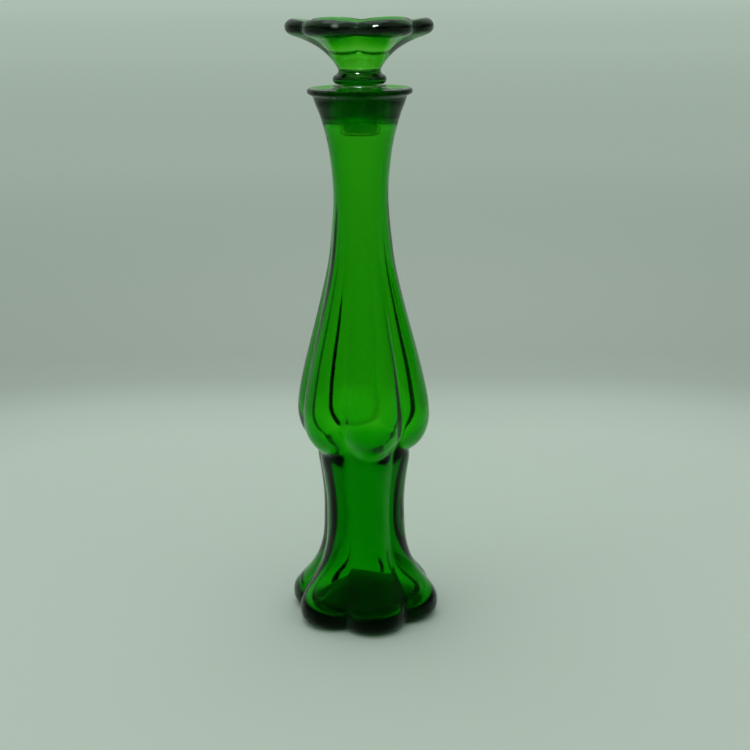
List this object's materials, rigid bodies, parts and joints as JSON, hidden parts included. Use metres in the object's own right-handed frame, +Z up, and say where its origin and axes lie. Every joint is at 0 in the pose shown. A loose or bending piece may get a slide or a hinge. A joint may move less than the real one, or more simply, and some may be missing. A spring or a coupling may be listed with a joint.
{
  "type": "aftershave bottle",
  "caption": "Hollow green glass bottle shaped like a bud vase: petal-lobed body, fluted stem, flared foot, and a flower-shaped glass stopper that lifts out.",
  "frame": {"origin": "centre of the base, on the surface that the bottle stands on", "axes": "+Z up along the axis of the bottle to the flower; -Y through the middle of one lobe of the body and foot"},
  "size_m": [0.0544, 0.059, 0.2286],
  "materials": {
    "body_glass": "clear emerald, fire-polished",
    "stopper_glass": "clear emerald, fire-polished",
    "sleeve_plastic": "yellowed translucent polyethylene"
  },
  "bodies": {
    "bottle": {"bottle_body": "body_glass"},
    "sleeve": {"stopper_sleeve": "sleeve_plastic"},
    "stopper": {"stopper": "stopper_glass"}
  },
  "joints": [
    {"name": "stopper_lift", "type": "slide", "parent": "bottle", "child": "sleeve", "axis": [0, 0, 1], "range_m": [0, 0.045]},
    {"name": "stopper_turn", "type": "hinge", "parent": "sleeve", "child": "stopper", "pos_m": [0, 0, 0.2], "axis": [0, 0, 1], "continuous": true}
  ]
}
